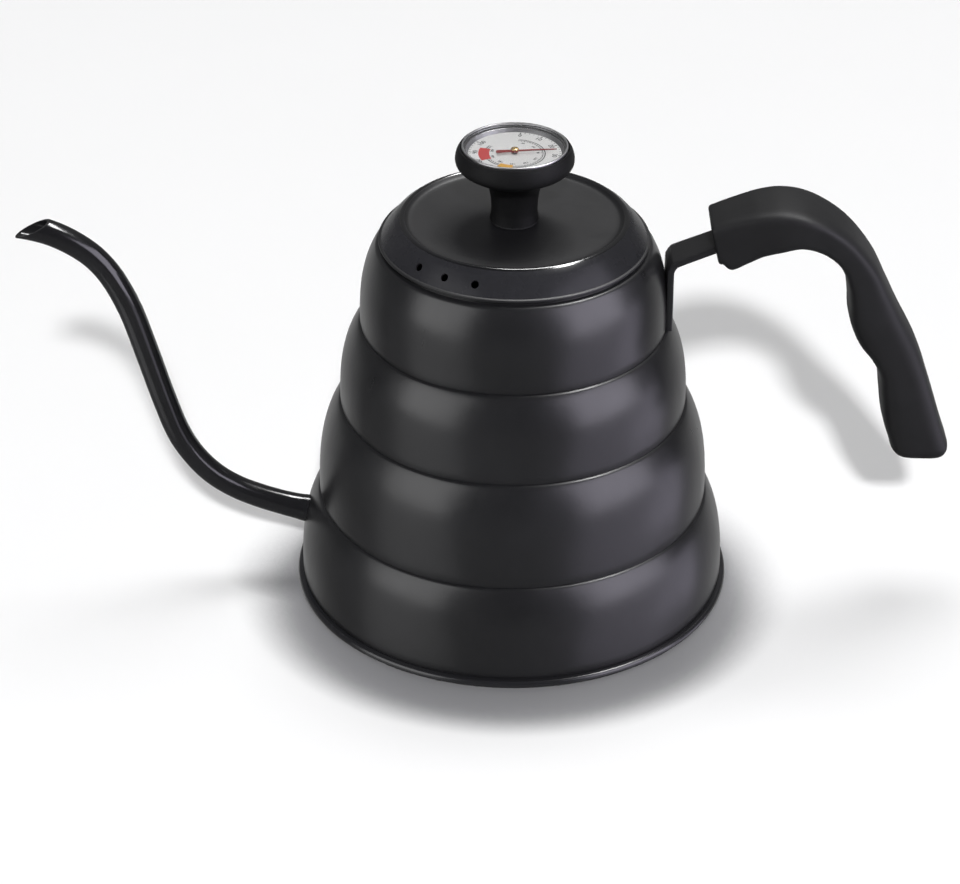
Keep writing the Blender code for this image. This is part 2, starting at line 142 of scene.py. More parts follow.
def box_of(node):
    """The lowest and highest corners of a CAD node, in millimetres."""
    return tuple(tuple(value / MM for value in corner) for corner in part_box(node))


# ---------------------------------------------------------------- materials


def set_range(node, low, high, to_low, to_high):
    """Sets a Map Range node to turn low..high into to_low..to_high."""
    numbers = {"From Min": low, "From Max": high, "To Min": to_low, "To Max": to_high}
    for name, number in numbers.items():
        node.inputs[name].default_value = number


class Look:
    """A Principled material whose nodes are wired by short calls."""

    def __init__(self, name, colour, roughness, metallic=0.0, **sockets):
        self.material = bpy.data.materials.new(name)
        self.material.use_nodes = True
        self.tree = self.material.node_tree
        self.shader = self.tree.nodes["Principled BSDF"]
        self.set("Base Color", (*colour, 1.0))
        self.set("Roughness", roughness)
        self.set("Metallic", metallic)
        for socket, value in sockets.items():
            self.set(socket.replace("_", " "), value)
        self.place = self.node("ShaderNodeTexCoord").outputs["Object"]
        self.height = None

    def node(self, kind, **values):
        node = self.tree.nodes.new(kind)
        for name, value in values.items():
            setattr(node, name, value)
        return node

    def set(self, socket, value):
        self.shader.inputs[socket].default_value = value

    def link(self, output, target):
        self.tree.links.new(output, target)

    def stretched(self, scale):
        """Object coordinates multiplied by scale along each axis."""
        mapping = self.node("ShaderNodeMapping")
        mapping.inputs["Scale"].default_value = scale
        self.link(self.place, mapping.inputs["Vector"])
        return mapping.outputs["Vector"]

    def noise(self, scale, detail=3.0, rough=0.5, stretch=None):
        texture = self.node("ShaderNodeTexNoise")
        texture.inputs["Scale"].default_value = scale
        texture.inputs["Detail"].default_value = detail
        texture.inputs["Roughness"].default_value = rough
        self.link(self.stretched(stretch) if stretch else self.place, texture.inputs["Vector"])
        return texture.outputs["Fac"]

    def remap(self, value, low, high, to_low, to_high):
        node = self.node("ShaderNodeMapRange")
        self.link(value, node.inputs["Value"])
        set_range(node, low, high, to_low, to_high)
        return node.outputs["Result"]

    def fill(self, node, values):
        """Gives a node's first inputs their values: each is a number or a socket."""
        for target, value in zip(node.inputs, values):
            if isinstance(value, float):
                target.default_value = value
            else:
                self.link(value, target)

    def math(self, operation, first, second):
        node = self.node("ShaderNodeMath", operation=operation)
        self.fill(node, (first, second))
        return node.outputs["Value"]

    def mix(self, factor, first, second):
        """A colour between first and second; each is a colour or a socket."""
        node = self.node("ShaderNodeMix", data_type="RGBA")
        self.link(factor, node.inputs[0])
        for index, value in ((6, first), (7, second)):
            if isinstance(value, tuple):
                node.inputs[index].default_value = (*value, 1.0)
            else:
                self.link(value, node.inputs[index])
        return node.outputs[2]

    def colour(self, socket):
        self.link(socket, self.shader.inputs["Base Color"])

    def roughness(self, socket):
        self.link(socket, self.shader.inputs["Roughness"])

    def bump(self, height, distance, strength=1.0):
        """Adds a relief of the given depth in metres to any that is there."""
        node = self.node("ShaderNodeBump")
        node.inputs["Strength"].default_value = strength
        node.inputs["Distance"].default_value = distance
        self.link(height, node.inputs["Height"])
        if self.height:
            self.link(self.height, node.inputs["Normal"])
        self.height = node.outputs["Normal"]
        self.link(self.height, self.shader.inputs["Normal"])

    def axis(self, name):
        split = self.node("ShaderNodeSeparateXYZ")
        self.link(self.place, split.inputs["Vector"])
        return split.outputs[name]

    def vector(self, x=0.0, y=0.0, z=0.0):
        """A vector; each part is a number or a socket."""
        node = self.node("ShaderNodeCombineXYZ")
        self.fill(node, (x, y, z))
        return node.outputs["Vector"]

    def from_axis(self):
        """Distance from the kettle's axis."""
        x = self.math("POWER", self.axis("X"), 2.0)
        y = self.math("POWER", self.axis("Y"), 2.0)
        return self.math("POWER", self.math("ADD", x, y), 0.5)


def lacquer(name, low, high):
    """Satin black lacquer on steel: orange peel, faint handling haze, dust."""
    look = Look(name, (0.008, 0.008, 0.009), (low + high) / 2, 0.0)
    haze = look.noise(26.0, 4.0, 0.6)
    fleck = look.noise(5200.0, 1.0)
    clean, hazy, dusty = (0.0085, 0.0085, 0.0095), (0.012, 0.012, 0.0135), (0.03, 0.03, 0.034)
    tone = look.mix(look.remap(haze, 0.35, 0.7, 0.0, 1.0), clean, hazy)
    look.colour(look.mix(look.remap(fleck, 0.68, 0.8, 0.0, 0.5), tone, dusty))
    smear = look.noise(60.0, 5.0, 0.65, stretch=(1.0, 1.0, 0.35))
    look.roughness(look.remap(smear, 0.3, 0.75, low, high))
    look.bump(look.noise(620.0, 2.0), 0.00005, 0.35)
    look.bump(look.noise(4200.0, 2.0), 0.00001, 0.35)
    return look.material


def lid_lacquer(name, tone, low, high, shine):
    """The lid's lacquer: satin on top, rubbed glossy on the ridge, duller on the flank, whose lighter
    tone is painted light.
    """
    look = Look(name, (tone, tone, tone * 1.12), (low + high) / 2, 0.0, Specular_IOR_Level=shine)
    haze = look.remap(look.noise(26.0, 4.0, 0.6), 0.35, 0.7, 0.0, 1.0)
    dark, light = 0.82 * tone, 1.18 * tone
    look.colour(look.mix(haze, (dark, dark, 1.15 * dark), (light, light, 1.15 * light)))
    look.roughness(look.remap(look.noise(60.0, 5.0, 0.65), 0.3, 0.75, low, high))
    look.bump(look.noise(620.0, 2.0), 0.00005, 0.35)
    return look.material


def rim_lacquer():
    """The lacquer of the base rim, rubbed at the foot where it stands."""
    look = Look("rim_lacquer", (0.016, 0.016, 0.018), 0.34, 0.0)
    height = look.axis("Z")
    worn = look.remap(height, 0.0, 0.0006, 0.55, 0.0)
    patch = look.remap(look.noise(140.0, 5.0, 0.7), 0.45, 0.62, 0.0, 1.0)
    rub = look.math("MULTIPLY", worn, patch)
    look.colour(look.mix(rub, (0.015, 0.015, 0.017), (0.12, 0.12, 0.125)))
    look.roughness(look.remap(look.noise(90.0, 4.0), 0.3, 0.7, 0.18, 0.26))
    look.bump(look.noise(620.0, 2.0), 0.00005, 0.35)
    return look.material


def bakelite(name, shine, tone):
    """Matte moulded bakelite: fine grain, a little polish that varies at random."""
    look = Look(name, (tone, tone, tone), 0.5, 0.0, Specular_IOR_Level=shine)
    cloud = look.noise(45.0, 5.0, 0.6)
    deep, pale = (tone, tone, tone * 1.07), (tone * 1.5, tone * 1.5, tone * 1.63)
    look.colour(look.mix(look.remap(cloud, 0.3, 0.7, 0.0, 1.0), deep, pale))
    look.roughness(look.remap(look.noise(38.0, 4.0, 0.6), 0.3, 0.7, 0.46, 0.62))
    look.bump(look.noise(2600.0, 3.0, 0.6), 0.00004, 0.5)
    look.bump(look.noise(210.0, 3.0), 0.00006, 0.2)
    return look.material


def steel(name, colour, low, high, stretch, scale):
    """Steel with a brushed or turned grain drawn out along one direction."""
    look = Look(name, colour, (low + high) / 2, 1.0)
    grain = look.noise(scale, 4.0, 0.6, stretch=stretch)
    dark = tuple(value * 0.82 for value in colour)
    look.colour(look.mix(look.remap(grain, 0.3, 0.7, 0.0, 1.0), dark, colour))
    fine = look.noise(scale * 0.6, 3.0, 0.6, stretch=stretch)
    look.roughness(look.remap(fine, 0.3, 0.7, low, high))
    look.bump(grain, 0.00001, 0.5)
    return look.material


MARKS_PER_METRE = 2600.0


def turned_steel(name, colour, low, high, metallic=1.0):
    """Steel with fine circular tool marks about the kettle's axis."""
    look = Look(name, colour, (low + high) / 2, metallic)
    outwards = look.math("MULTIPLY", look.from_axis(), MARKS_PER_METRE)
    upwards = look.math("MULTIPLY", look.axis("Z"), MARKS_PER_METRE)
    marks = look.node("ShaderNodeTexNoise")
    marks.inputs["Scale"].default_value = 1.0
    marks.inputs["Detail"].default_value = 3.0
    look.link(look.vector(outwards, upwards), marks.inputs["Vector"])
    grain = marks.outputs["Fac"]
    dark = tuple(value * 0.8 for value in colour)
    look.colour(look.mix(look.remap(grain, 0.3, 0.7, 0.0, 1.0), dark, colour))
    look.roughness(look.remap(grain, 0.3, 0.7, low, high))
    look.bump(grain, 0.000008, 0.5)
    return look.material


def silicone():
    look = Look("silicone_rubber", (0.014, 0.014, 0.015), 0.72, 0.0, Specular_IOR_Level=0.3)
    look.colour(look.mix(look.noise(300.0, 4.0), (0.011, 0.011, 0.012), (0.018, 0.018, 0.019)))
    look.roughness(look.remap(look.noise(500.0, 3.0), 0.3, 0.7, 0.6, 0.78))
    look.bump(look.noise(2400.0, 2.0), 0.00003, 0.4)
    return look.material


def glass():
    """Clear flat glass with faint smears."""
    look = Look("clear_glass", (1.0, 1.0, 1.0), 0.02, 0.0, Transmission_Weight=1.0, IOR=1.5)
    look.roughness(look.remap(look.noise(160.0, 4.0, 0.7), 0.45, 0.75, 0.01, 0.07))
    return look.material


def dial_white():
    look = Look("dial_white", (0.66, 0.66, 0.655), 0.55, 0.0, Specular_IOR_Level=0.3)
    look.colour(look.mix(look.noise(700.0, 4.0), (0.64, 0.64, 0.635), (0.69, 0.69, 0.685)))
    look.roughness(look.remap(look.noise(900.0, 2.0), 0.3, 0.7, 0.5, 0.62))
    look.bump(look.noise(3600.0, 2.0), 0.00001, 0.3)
    return look.material


def ink(name, colour, roughness=0.45):
    """Screen-printed ink with an uneven edge to its coverage."""
    look = Look(name, colour, roughness, 0.0)
    pale = tuple(value * 0.8 + 0.03 for value in colour)
    cover = look.remap(look.noise(4200.0, 3.0, 0.7), 0.55, 0.75, 0.0, 0.5)
    look.colour(look.mix(cover, colour, pale))
    smear = look.noise(2500.0, 2.0)
    look.roughness(look.remap(smear, 0.3, 0.7, roughness - 0.07, roughness + 0.08))
    return look.material


def brass():
    look = Look("turned_brass", (0.78, 0.55, 0.25), 0.28, 1.0)
    look.colour(look.mix(look.noise(900.0, 4.0), (0.66, 0.44, 0.18), (0.85, 0.62, 0.3)))
    look.roughness(look.remap(look.noise(1800.0, 3.0), 0.3, 0.7, 0.2, 0.38))
    look.bump(look.noise(3200.0, 2.0), 0.000008, 0.5)
    return look.material


def floor_look():
    """Pale paper with a painted contact shadow: darker close to what stands on it and most of all in
    front of it.
    """
    look = Look("pale_floor", (0.92, 0.92, 0.925), 0.6, 0.0)
    paper = look.mix(look.noise(9.0, 4.0), (0.91, 0.91, 0.915), (0.93, 0.93, 0.935))
    # Painted shadow: the floor's colour darkens to grey near the kettle, most of all in front of it.
    near = look.node("ShaderNodeAmbientOcclusion", samples=20)
    near.inputs["Distance"].default_value = 0.029
    look.link(look.vector(0.0, 0.8, 0.6), near.inputs["Normal"])
    painted_shadow_mask = look.remap(near.outputs["AO"], 0.7, 0.95, 0.0, 1.0)
    look.colour(look.mix(painted_shadow_mask, (0.25, 0.25, 0.26), paper))
    look.bump(look.noise(900.0, 3.0), 0.00005, 0.2)
    return look.material


LACQUER = lacquer("black_lacquer", 0.27, 0.37)
LID_TOP = lid_lacquer("lid_lacquer", 0.008, 0.42, 0.5, 0.42)
LID_RIDGE = lid_lacquer("lid_ridge_lacquer", 0.008, 0.13, 0.17, 0.85)
# The flank's tone of 0.02, against 0.008 on the top and ridge, is painted light that brightens the
# flank.
LID_FLANK_PAINTED_LIGHT = lid_lacquer("lid_flank_lacquer_painted_light", 0.02, 0.24, 0.32, 0.12)
SPOUT_LACQUER = lacquer("spout_lacquer", 0.13, 0.22)
RIM_LACQUER = rim_lacquer()
BAKELITE = bakelite("black_bakelite", 0.22, 0.0082)
KNOB_BAKELITE = bakelite("knob_bakelite", 0.12, 0.0045)
INSIDE_STEEL = turned_steel("inside_steel", (0.6, 0.6, 0.61), 0.3, 0.44, metallic=0.6)
BEZEL_STEEL = turned_steel("bezel_steel", (0.5, 0.5, 0.51), 0.26, 0.36)
BRIGHT_STEEL = turned_steel("bright_steel", (0.72, 0.72, 0.73), 0.14, 0.24)
PROBE_STEEL = steel("probe_steel", (0.62, 0.62, 0.63), 0.22, 0.36, (1.0, 1.0, 0.05), 1600.0)
ZINC = steel("zinc_steel", (0.55, 0.56, 0.58), 0.28, 0.44, (1.0, 1.0, 1.0), 1500.0)
BIMETAL = steel("bimetal_strip", (0.42, 0.39, 0.36), 0.3, 0.5, (1.0, 1.0, 1.0), 2400.0)
SILICONE = silicone()
GLASS = glass()
DIAL_WHITE = dial_white()
BLACK_INK = ink("black_ink", (0.02, 0.02, 0.022))
YELLOW_INK = ink("yellow_ink", (0.68, 0.34, 0.01))
RED_INK = ink("red_ink", (0.5, 0.012, 0.01))
RED_PAINT = ink("red_paint", (0.24, 0.008, 0.008), 0.32)
RING_GREY = steel("spacer_grey", (0.3, 0.3, 0.31), 0.4, 0.55, (1.0, 1.0, 1.0), 1200.0)
BRASS = brass()


# ---------------------------------------------------------------- geometry


def put(name, data):
    """Adds an object of the data to the scene."""
    obj = bpy.data.objects.new(name, data)
    bpy.context.scene.collection.objects.link(obj)
    return obj


def piece(name, mesh, materials, body, slot, *nodes, sharp=35):
    """Adds a finished mesh to the object: smooth, on its body, for its CAD nodes."""
    mesh.shade_smooth()
    mesh.set_sharp_from_angle(angle=math.radians(sharp))
    for material in materials:
        mesh.materials.append(material)
    obj = put(name, mesh)
    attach(obj, body)
    if nodes:
        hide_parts(*nodes)
    return obj


def finished(work, name):
    """Turns a bmesh into a mesh, and frees it."""
    mesh = bpy.data.meshes.new(name)
    work.to_mesh(mesh)
    work.free()
    return mesh


def solid_mesh(name, points, faces, merge=0.0):
    """A mesh from points in millimetres, its faces turned outwards.

    Points closer than merge, in metres, become one.
    """
    rough = bpy.data.meshes.new(name)
    rough.from_pydata([(x * MM, y * MM, z * MM) for x, y, z in points], [], faces)
    work = bmesh.new()
    work.from_mesh(rough)
    bpy.data.meshes.remove(rough)
    if merge:
        bmesh.ops.remove_doubles(work, verts=work.verts, dist=merge)
    bmesh.ops.recalc_face_normals(work, faces=work.faces)
    return finished(work, name)


def grid_mesh(name, rows, wrap_rows=False, caps=False):
    """A mesh over equal closed rows of points in millimetres."""
    count = len(rows[0])
    faces = []
    last = len(rows) if wrap_rows else len(rows) - 1
    for i in range(last):
        here, there = i * count, ((i + 1) % len(rows)) * count
        for j in range(count):
            k = (j + 1) % count
            faces.append((here + j, here + k, there + k, there + j))
    if caps:
        faces.append(tuple(reversed(range(count))))
        faces.append(tuple(range(len(rows) * count - count, len(rows) * count)))
    return solid_mesh(name, [point for row in rows for point in row], faces, merge=2e-6)


def lathe(name, profile, segments, closed=True):
    """The profile of (radius, height) points turned about the axis."""
    rows = []
    for r, z in profile:
        turn = [2 * math.pi * j / segments for j in range(segments)]
        rows.append([(r * math.cos(a), r * math.sin(a), z) for a in turn])
    return grid_mesh(name, rows, wrap_rows=closed)


def turned(node, profile, segments, material, body, slot, closed=True):
    """A lathed piece of one material in place of a CAD node."""
    name = node + "_fine"
    mesh = lathe(name, profile, segments, closed)
    return piece(name, mesh, (material,), body, slot, node)


def rounded(points, radius, steps=4, closed=True):
    """The outline with each corner softened to about the given radius."""
    count = len(points)
    radii = radius if isinstance(radius, (list, tuple)) else [radius] * count
    out = []
    for i, (point, size) in enumerate(zip(points, radii)):
        if size <= 0 or (not closed and i in (0, count - 1)):
            out.append(tuple(point))
            continue
        corner = Vector(point)
        before = Vector(points[i - 1]) - corner
        after = Vector(points[(i + 1) % count]) - corner
        start = corner + before.normalized() * min(size, before.length * 0.48)
        end = corner + after.normalized() * min(size, after.length * 0.48)
        for step in range(steps + 1):
            t = step / steps
            out.append(tuple((1 - t) ** 2 * start + 2 * t * (1 - t) * corner + t**2 * end))
    return out


def smooth_through(points, steps):
    """Points of the Catmull-Rom curve through the given points."""
    first = tuple(2 * a - b for a, b in zip(points[0], points[1]))
    last = tuple(2 * a - b for a, b in zip(points[-1], points[-2]))
    known = [first, *points, last]

    def between(a, b, c, d, t):
        bend = (2 * a - 5 * b + 4 * c - d) * t**2 + (3 * b - a - 3 * c + d) * t**3
        return 0.5 * (2 * b + (c - a) * t + bend)

    curve = []
    for around in zip(known, known[1:], known[2:], known[3:]):
        for step in range(steps):
            curve.append(tuple(between(*values, step / steps) for values in zip(*around)))
    curve.append(tuple(points[-1]))
    return curve


def helper(name, mesh):
    """A hidden object that only cuts."""
    obj = put(name, mesh)
    obj.hide_render = True
    obj.hide_viewport = True
    return obj


def boolean(obj, other, operation="DIFFERENCE"):
    """Cuts obj by other at once, and removes other."""
    modifier = obj.modifiers.new("Cut", "BOOLEAN")
    modifier.operation = operation
    modifier.solver = "EXACT"
    modifier.object = other
    settle(obj)
    bpy.data.objects.remove(other, do_unlink=True)


def settle(obj):
    """Applies an object's modifiers to its mesh."""
    bpy.context.view_layer.update()
    graph = bpy.context.evaluated_depsgraph_get()
    mesh = bpy.data.meshes.new_from_object(obj.evaluated_get(graph))
    old = obj.data
    obj.modifiers.clear()
    obj.data = mesh
    bpy.data.meshes.remove(old)
    mesh.shade_smooth()
    mesh.set_sharp_from_angle(angle=math.radians(35))


def walled(obj, thickness, inside_slot):
    """Gives an open shell its thickness, inwards; the inside takes a later material slot."""
    solidify = obj.modifiers.new("Wall", "SOLIDIFY")
    solidify.thickness = thickness * MM
    solidify.offset = -1.0
    solidify.use_even_offset = True
    solidify.material_offset = inside_slot
    settle(obj)


def face_radius(face):
    """How far a face's middle is from the kettle's axis, in millimetres."""
    return math.hypot(face.center.x, face.center.y) / MM


def middle_of(row):
    return sum((Vector(point) for point in row), Vector()) / len(row)


def rod(name, radius, centre, direction, length, segments=48, flare=0.0):
    """A cylinder mesh for cutting a hole, in millimetres, wider by flare at its far end."""
    work = bmesh.new()
    near, far = radius * MM, (radius + flare) * MM
    bmesh.ops.create_cone(
        work, cap_ends=True, segments=segments, radius1=near, radius2=far, depth=length * MM
    )
    turn = Vector(direction).to_track_quat("Z", "Y").to_matrix().to_4x4()
    place = Matrix.Translation(Vector(centre) * MM)
    bmesh.ops.transform(work, matrix=place @ turn, verts=work.verts)
    return helper(name, finished(work, name))


# ---------------------------------------------------------------- kettle


def wall_radius(z):
    """The body's outer radius at a height."""
    for z_top, z_low, r_top, r_low in zip(TIER_Z, TIER_Z[1:], TIER_R, TIER_R[1:]):
        if z >= z_low:
            s = min(max((z_top - z) / (z_top - z_low), 0.0), 1.0)
            swell = (1 - (1 - s) ** SHOULDER_POWER) ** (1 / SHOULDER_ROUND)
            return r_top + (r_low - r_top) * swell
    return TIER_R[-1]


def body_shell():
    # The seat for the lid, with a narrow groove under the lid's edge.
    seat = [(MOUTH_R, NECK_BOTTOM_Z), (MOUTH_R, SEAT_Z - 0.8), (MOUTH_R + 0.9, SEAT_Z)]
    seat += [(GROOVE_R, SEAT_Z), (GROOVE_R, GROOVE_Z), (44.5, GROOVE_Z)]
    profile = rounded(seat, [0, 0.8, 0.8, 0.15, 0.1, 0], closed=False)
    steps = 26
    for z_top, z_low in zip(TIER_Z, TIER_Z[1:]):
        for i in range(1, steps + 1):
            z = z_top - (z_top - z_low) * (i / steps) ** 1.5
            if z < GROOVE_Z - 0.1:
                # The foot of each tier turns in where it meets the next.
                inset = 0.32 * max(0.0, 1 - (z - z_low) / 0.9) ** 2
                profile.append((wall_radius(max(z, z_low + 1e-4)) - inset, z))
    mesh = lathe("body_shell_fine", profile, 224, closed=False)
    looks = (LACQUER, INSIDE_STEEL)
    shell = piece("body_shell_fine", mesh, looks, "kettle", "black_lacquer", "body_shell")
    walled(shell, WALL, 1)
    x, z, _ = SPOUT_ROUTE[1]
    boolean(shell, rod("spout_hole", SPOUT_HOLE_R, (x, 0, z), (1.0, 0.0, 0.2), 12.0))


def base_plate():
    top = box_of("base_plate")[1][2]
    flange = TIER_R[-1] - WALL - 0.3
    rim = box_of("base_plate")[1][0]
    profile = [
        (0.0, WALL), (50.0, WALL), (52.0, 1.1), (54.0, WALL), (69.0, WALL), (flange - WALL, 1.8),
        (flange - WALL, top), (flange, top), (flange, 2.7), (rim - 0.7, 2.7), (rim, 1.9), (rim, 0.8),
        (rim - 0.8, 0.0), (58.0, 0.0), (57.0, 0.25), (53.0, 0.25), (52.0, 0.0), (20.0, 0.0),
        (19.5, 0.2), (18.5, 0.2), (18.0, 0.0), (0.0, 0.0),
    ]
    mesh = lathe("base_plate_fine", rounded(profile, 0.5, closed=False), 224, closed=False)
    for face in mesh.polygons:
        if face.center.z > 0.5 * MM and face_radius(face) < flange - 0.2:
            face.material_index = 1
    looks = (RIM_LACQUER, INSIDE_STEEL)
    piece("base_plate_fine", mesh, looks, "kettle", "black_lacquer", "base_plate")


def spout_frame(line, t):
    """(centre, normal in the plane y = 0, radius) at a place t along the line."""
    i = min(max(int(t), 0), len(line) - 2)
    part = t - i
    here = Vector(line[i]).lerp(Vector(line[i + 1]), part)
    ahead = Vector(line[min(i + 2, len(line) - 1)][:2]) - Vector(line[max(i, 1) - 1][:2])
    along = ahead.normalized()
    return Vector((here[0], here[1])), Vector((along[1], -along[0])), here[2]


def spout_point(line, t, angle, wall):
    """A point on the tube's outside if wall is 0, or on its bore."""
    centre, normal, radius = spout_frame(line, t)
    if wall:
        radius = min(radius - wall, SPOUT_BORE_R)
    flat = centre + normal * radius * math.cos(angle)
    return Vector((flat[0], radius * math.sin(angle), flat[1]))


def crossing(line, angle, wall, test, start, stop, steps):
    """The first t from start towards stop where test turns true, by bisection."""
    before = start
    for i in range(1, steps + 1):
        t = start + (stop - start) * i / steps
        if test(spout_point(line, t, angle, wall)):
            low, high = before, t
            for _ in range(18):
                mid = (low + high) / 2
                if test(spout_point(line, mid, angle, wall)):
                    high = mid
                else:
                    low = mid
            return (low + high) / 2
        before = t
    return stop


def spout():
    steps = 12
    line = smooth_through(SPOUT_ROUTE, steps)
    x, z, r = line[-1]
    # Beyond the tip the line goes on straight, so that the lip can cut it.
    for i in range(1, 3 * steps):
        line.append((x - 0.7 * i, z + 0.15 * i, r))
    slope = math.atan2(LIP_TOP[1] - LIP_TIP[1], LIP_TOP[0] - LIP_TIP[0])
    up = Vector((-math.sin(slope), 0.0, math.cos(slope)))
    tip = Vector((LIP_TIP[0], 0.0, LIP_TIP[1]))

    def past_lip(point):
        return (point - tip).dot(up) > 0

    def in_body(point):
        return math.hypot(point.x, point.y) < wall_radius(point.z) + 0.03

    # Both ends of each rail are oblique; between these shares of it the rings are square.
    root_share, tip_share = 0.12, 0.82
    sides, stations = 56, 150
    angles = [2 * math.pi * j / sides for j in range(sides)]
    rails = []
    for wall in (0.0, SPOUT_WALL):
        ends = []
        for angle in angles:
            first = crossing(line, angle, wall, in_body, 4.0 * steps, 0.0, 200)
            last = crossing(line, angle, wall, past_lip, 12.0 * steps, len(line) - 2.0, 400)
            ends.append((first, last))
        start_mean = 2.4 * steps
        stop_mean = min(last for _, last in ends) - steps * 0.4
        rows = []
        for s in range(stations + 1):
            u = s / stations
            row = []
            for angle, (first, last) in zip(angles, ends):
                if u < root_share:
                    t = first + (start_mean - first) * (u / root_share)
                elif u < tip_share:
                    part = (u - root_share) / (tip_share - root_share)
                    t = start_mean + (stop_mean - start_mean) * part
                else:
                    part = (u - tip_share) / (1 - tip_share)
                    t = stop_mean + (last - stop_mean) * part
                row.append(tuple(spout_point(line, t, angle, wall)))
            rows.append(row)
        rails.append(rows)
    outer, inner = rails
    lip = []
    for k in range(1, 5):
        t = k / 5
        swell = 0.1 * math.sin(math.pi * t)
        lip.append([
            tuple(Vector(a).lerp(Vector(b), t) + up * swell)
            for a, b in zip(outer[-1], inner[-1])
        ])
    rows = outer + lip + inner[::-1]
    mesh = grid_mesh("spout_fine", rows, wrap_rows=True)
    piece("spout_fine", mesh, (SPOUT_LACQUER,), "kettle", "black_lacquer", "spout_tube")


def section_ring(centre, across, along_y, half_a, half_b, power, count):
    """A superellipse: half_a along across and half_b along Y, squarer as power grows."""
    ring = []
    for j in range(count):
        a = 2 * math.pi * j / count
        ca, sa = math.cos(a), math.sin(a)
        u = half_a * math.copysign(abs(ca) ** (2 / power), ca)
        v = half_b * math.copysign(abs(sa) ** (2 / power), sa)
        ring.append(tuple(Vector(centre) + Vector(across) * u + Vector(along_y) * v))
    return ring


def strap_rows(route, spare):
    """Rings of a flat bar with rounded edges along an (x, z, width) route, grown by spare."""
    rows = []
    for i, (x, z, width) in enumerate(route):
        before, after = route[max(i - 1, 0)], route[min(i + 1, len(route) - 1)]
        along = Vector((after[0] - before[0], after[1] - before[1])).normalized()
        across = (along[1], 0.0, -along[0])
        half, side = (STRAP_THICKNESS + spare) / 2, (width + spare) / 2
        rows.append(section_ring((x, 0, z), across, (0, 1, 0), half, side, 9.0, 48))
    return rows


def eased(row, away, size, angle):
    """The row shrunk and moved away, as a rounded edge of this size has it at the angle."""
    centre = middle_of(row)
    made = []
    for point in row:
        spoke = Vector(point) - centre
        keep = (spoke.length - size * (1 - math.cos(angle))) / spoke.length
        made.append(tuple(centre + spoke * keep + away * (size * math.sin(angle))))
    return made


def bracket():
    route = smooth_through(STRAP_ROUTE, 10)
    rows = strap_rows(route, 0.0)
    start_way = (middle_of(rows[0]) - middle_of(rows[1])).normalized()
    end_way = (middle_of(rows[-1]) - middle_of(rows[-2])).normalized()
    head = [eased(rows[0], start_way, 0.5, angle) for angle in (1.5, 1.1, 0.7, 0.35)]
    tail = [eased(rows[-1], end_way, 0.5, angle) for angle in (0.35, 0.7, 1.1, 1.5)]
    mesh = grid_mesh("bracket_fine", head + rows + tail, caps=True)
    strap = piece("bracket_fine", mesh, (LACQUER,), "kettle", "black_lacquer", "handle_bracket")
    outline = [(0.0, 126.0)]
    for i in range(60):
        z = 126.0 - i * 0.6
        outline.append((wall_radius(z) + 0.05, z))
    outline.append((0.0, outline[-1][1]))
    boolean(strap, helper("wall_cut", lathe("wall_cut", outline, 256, closed=False)))


def grip_rings(count):
    dense = smooth_through(GRIP_SECTIONS, 10)
    rows = []
    for xo, zo, xi, zi, width, power in dense:
        across = Vector((xo - xi, 0.0, zo - zi))
        half = across.length / 2
        centre = ((xo + xi) / 2, 0.0, (zo + zi) / 2)
        rows.append(section_ring(centre, across.normalized(), (0, 1, 0), half, width / 2, power, count))
    return rows


def grip():
    rows = grip_rings(72)
    # The front end is blunt, a flat face with a soft edge.
    front = Vector((-1.0, 0.0, -0.3)).normalized()
    head = [eased(rows[0], front, 1.3, angle) for angle in (1.57, 1.3, 1.0, 0.7, 0.35)]
    # The lower end is full and round.
    last = rows[-1]
    centre = middle_of(last)
    drop = Vector((0.15, 0.0, -1.0)) * (centre.z - GRIP_END_Z)
    tail = []
    for k in range(1, 13):
        angle = math.pi / 2 * k / 12.5
        keep = math.cos(angle) ** 0.4
        down = drop * math.sin(angle)
        tail.append([tuple(centre + (Vector(point) - centre) * keep + down) for point in last])
    mesh = grid_mesh("grip_fine", head + rows + tail, caps=True)
    handle = piece("grip_fine", mesh, (BAKELITE,), "kettle", "black_bakelite", "handle_grip", sharp=50)
    route = smooth_through(STRAP_ROUTE, 10)
    slot_route = [point for point in route if point[0] > 57.0]
    x, z, width = slot_route[-1]
    slot_route.append((x + 0.4, z + 0.1, width))
    slot = grid_mesh("slot", strap_rows(slot_route, 0.5), caps=True)
    boolean(handle, helper("slot", slot))
    for index in (1, 2):
        low, high = box_of(f"grip_screw_{index}")
        x = (low[0] + high[0]) / 2
        boolean(handle, rod("seat", SCREW_SEAT_R, (x, 0, low[2] - 4.0), (0, 0, 1), 12.4))
        boolean(handle, rod("shank", SCREW_SHANK_R, (x, 0, high[2] - 5.0), (0, 0, 1), 11.0))


def grip_screws():
    for index in (1, 2):
        low, high = box_of(f"grip_screw_{index}")
        x = (low[0] + high[0]) / 2
        base, top = low[2], high[2]
        head = base + 1.8
        profile = [(0.0, base + 0.9), (0.9, base + 0.1), (1.4, base), (2.6, base + 0.25)]
        profile += [(3.4, base + 0.9), (3.4, head)]
        profile = rounded(profile, 0.4, closed=False) + [(1.7, head)]
        profile += thread_profile(1.7, 1.35, head + 0.3, top - 0.4, 0.7)
        profile += [(1.2, top), (0.0, top)]
        name = f"grip_screw_{index}_fine"
        mesh = lathe(name, profile, 48, closed=False)
        mesh.transform(Matrix.Translation((x * MM, 0, 0)))
        screw = piece(name, mesh, (ZINC,), "kettle", "zinc_steel", f"grip_screw_{index}")
        # The cross recess.
        for turn in (0.0, math.pi / 2):
            work = bmesh.new()
            bmesh.ops.create_cube(work, size=1.0)
            size = Matrix.Diagonal((3.6 * MM, 0.8 * MM, 2.2 * MM, 1.0))
            place = Matrix.Translation((x * MM, 0, base * MM)) @ Matrix.Rotation(turn, 4, "Z")
            bmesh.ops.transform(work, matrix=place @ size, verts=work.verts)
            boolean(screw, helper("recess", finished(work, "recess")))


